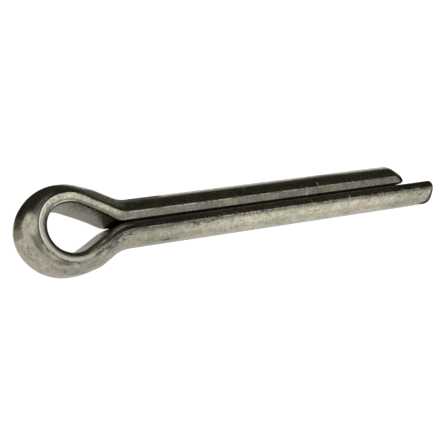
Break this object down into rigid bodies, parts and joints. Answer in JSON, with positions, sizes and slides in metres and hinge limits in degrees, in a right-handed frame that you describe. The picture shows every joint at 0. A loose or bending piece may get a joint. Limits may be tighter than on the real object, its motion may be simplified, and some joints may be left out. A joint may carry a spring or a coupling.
{
  "type": "split cotter pin",
  "caption": "Split cotter pin of half-round wire, with a teardrop eye, a round slit shank and one prong longer than the other.",
  "frame": {"origin": "on the shank's centre line, where the round shank starts behind the neck", "axes": "+X along the shank, towards the tips; +Y across the slit, towards the short prong; +Z along the axis of the eye's hole. The pin lies on its side, as it comes to rest."},
  "size_m": [0.0612, 0.0106, 0.0064],
  "materials": {
    "steel": "bare drawn steel wire, mottled and lightly streaked along its length"
  },
  "bodies": {
    "root": {"cotter_pin": "steel"}
  },
  "joints": []
}
